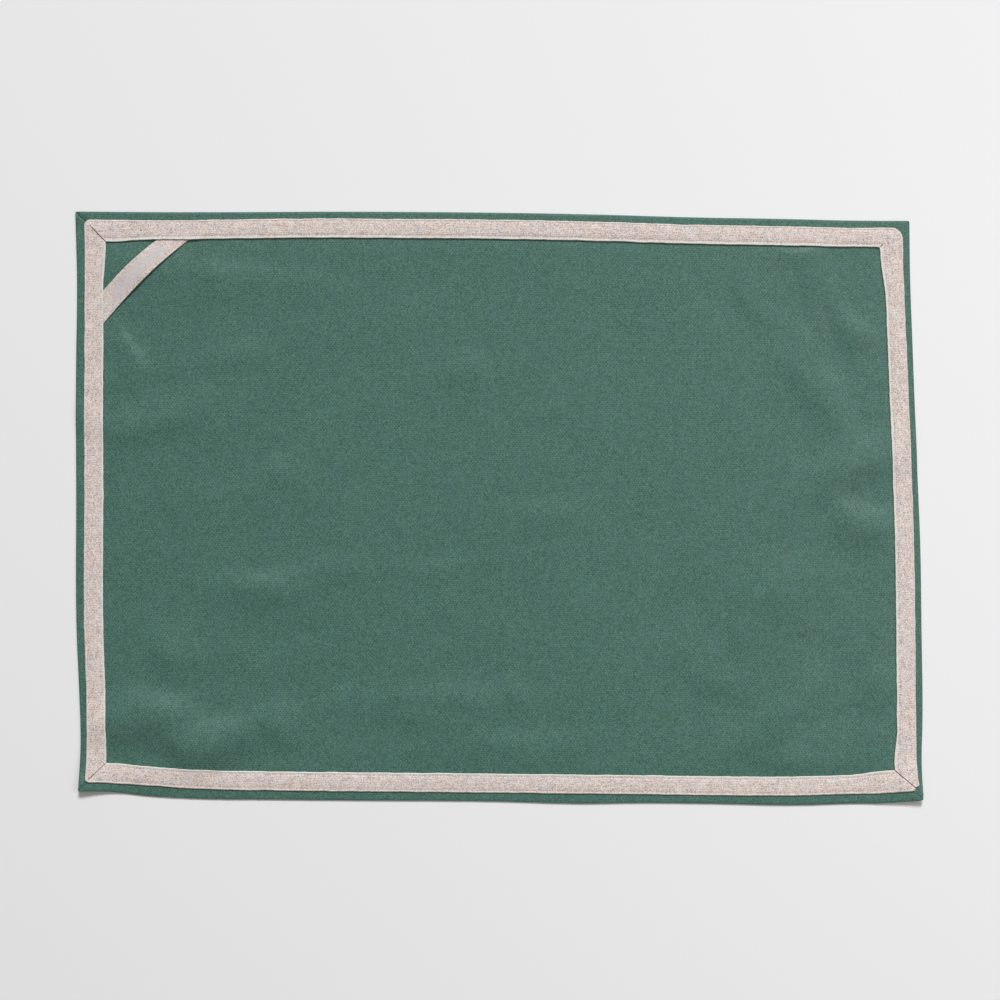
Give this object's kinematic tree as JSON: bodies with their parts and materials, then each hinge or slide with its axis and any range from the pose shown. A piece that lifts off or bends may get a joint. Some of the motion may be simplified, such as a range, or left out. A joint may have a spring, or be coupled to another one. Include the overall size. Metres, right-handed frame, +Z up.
{
  "type": "fabric placemat",
  "caption": "Rectangular cotton-linen table placemat with a turned hem, a contrasting linen tape edging and a tape loop across one corner.",
  "frame": {"origin": "centre of the bounding box, on the surface that the mat lies on", "axes": "+X along the mat's long side, +Y towards the long side that the corner loop's upper end joins, +Z up out of the face that shows"},
  "size_m": [0.4333, 0.3036, 0.0053],
  "materials": {
    "green_canvas": "plain woven cotton-linen canvas, washed, matt",
    "linen_tape": "natural linen tape, woven with selvedges, matt"
  },
  "bodies": {
    "root": {"mat_cloth": "green_canvas", "edge_tape": "linen_tape", "corner_loop": "linen_tape"}
  },
  "joints": []
}
